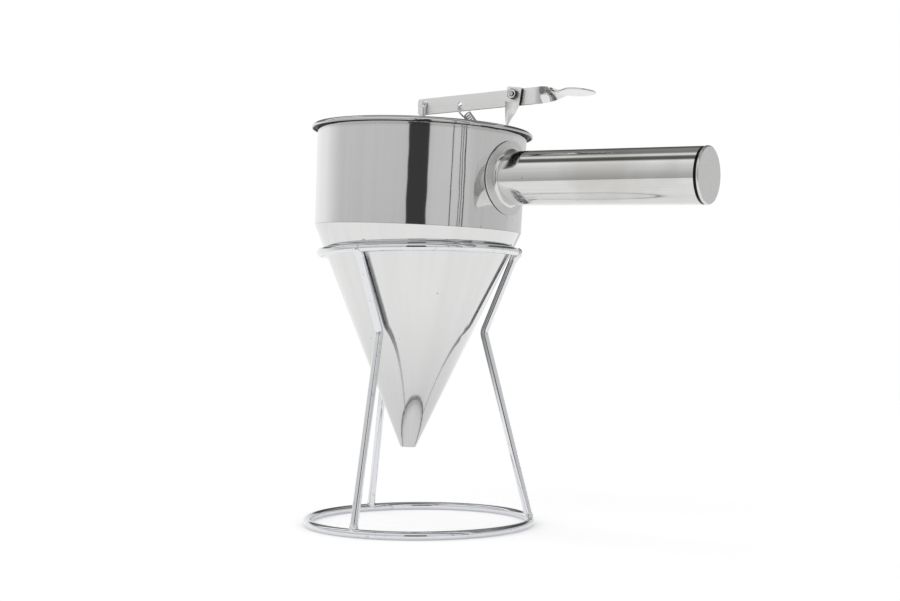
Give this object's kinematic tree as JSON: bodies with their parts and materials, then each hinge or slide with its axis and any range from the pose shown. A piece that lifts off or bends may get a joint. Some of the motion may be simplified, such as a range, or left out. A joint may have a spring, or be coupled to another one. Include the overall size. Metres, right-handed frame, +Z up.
{
  "type": "batter dispenser",
  "caption": "Hand-held conical batter hopper with a tube handle and a sprung thumb lever that lifts a stopper rod, standing in an hourglass wire stand.",
  "frame": {"origin": "on the table, under the middle of the base ring", "axes": "+Z up; +X towards the handle; +Y away from the side that shows the pivot's nut"},
  "size_m": [0.2632, 0.1424, 0.2641],
  "materials": {
    "hopper_sheet": "satin, spun sheet",
    "handle_steel": "polished tube",
    "wire": "bright wire",
    "strip_steel": "polished strip",
    "fastener": "bright machined",
    "spring_steel": "drawn wire",
    "rod_steel": "drawn rod"
  },
  "bodies": {
    "stand": {"base_ring": "wire", "top_ring": "wire", "leg_right": "wire", "leg_back": "wire", "leg_front": "wire"},
    "hopper": {"hopper_drum": "hopper_sheet", "hopper_cone": "hopper_sheet", "handle_collar": "handle_steel", "handle_tube": "handle_steel", "handle_end_cap": "handle_steel", "lever_bracket": "strip_steel", "pivot_bolt": "fastener", "pivot_nut": "fastener", "pivot_washer": "fastener", "return_spring": "spring_steel"},
    "lever": {"thumb_lever": "strip_steel"},
    "rod": {"pull_rod": "rod_steel", "stopper": "rod_steel"}
  },
  "joints": [
    {"name": "hopper_lift", "type": "slide", "parent": "stand", "child": "hopper", "axis": [0, 0, 1], "range_m": [0, 0.14]},
    {"name": "lever_press", "type": "hinge", "parent": "hopper", "child": "lever", "pos_m": [0.06817, 0, 0.25913], "axis": [0, 1, 0], "range_deg": [0, 10], "stiffness_Nm_per_rad": 4.5, "springref_deg": -1.72, "deforming": ["return_spring"]},
    {"name": "rod_lift", "type": "slide", "parent": "hopper", "child": "rod", "axis": [0.0558, 0, 0.9984], "range_m": [0, 0.0115]}
  ],
  "couplings": [
    {"joint": "rod_lift", "follows": "lever_press", "m_per_rad": 0.06484}
  ]
}
